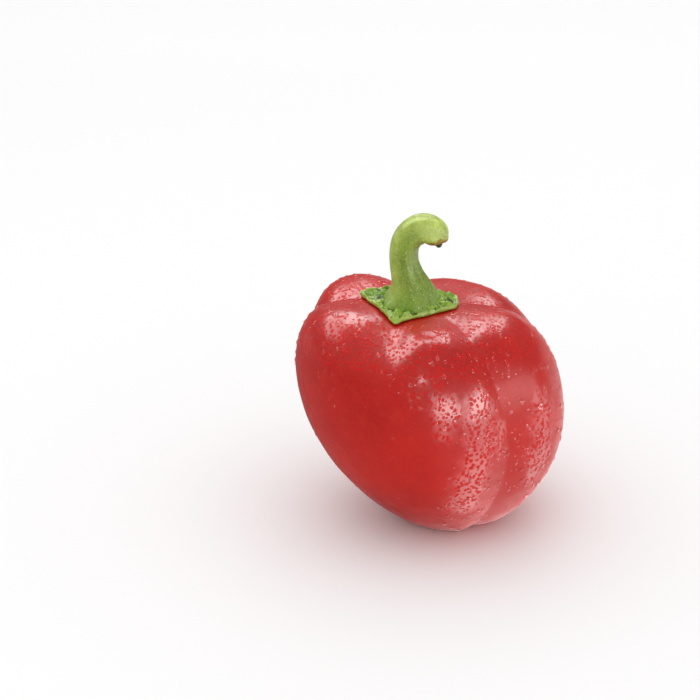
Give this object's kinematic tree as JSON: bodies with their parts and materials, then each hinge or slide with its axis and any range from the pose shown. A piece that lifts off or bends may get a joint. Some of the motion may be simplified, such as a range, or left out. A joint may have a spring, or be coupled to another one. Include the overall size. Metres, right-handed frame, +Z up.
{
  "type": "bell pepper",
  "caption": "Ripe red bell pepper that stands on the tips of its uneven lobes, with a crinkled green calyx and a thick green stem hooked over to its cut end.",
  "frame": {"origin": "on the surface that the pepper stands on, under the middle of its bounding box", "axes": "+Z up, from the lobes' tips to the stem; the stem's hook points towards +X; -Y is the side seen from the front"},
  "size_m": [0.0902, 0.0896, 0.1075],
  "materials": {
    "fruit_skin": "smooth, waxy and glossy deep red skin, wet with fine drops of water",
    "calyx_green": "crinkled, slightly glossy fresh green",
    "stem_green": "smooth, faintly ribbed yellow-green with a dry brown cut end"
  },
  "bodies": {
    "root": {"fruit": "fruit_skin", "calyx": "calyx_green", "stem": "stem_green"}
  },
  "joints": []
}
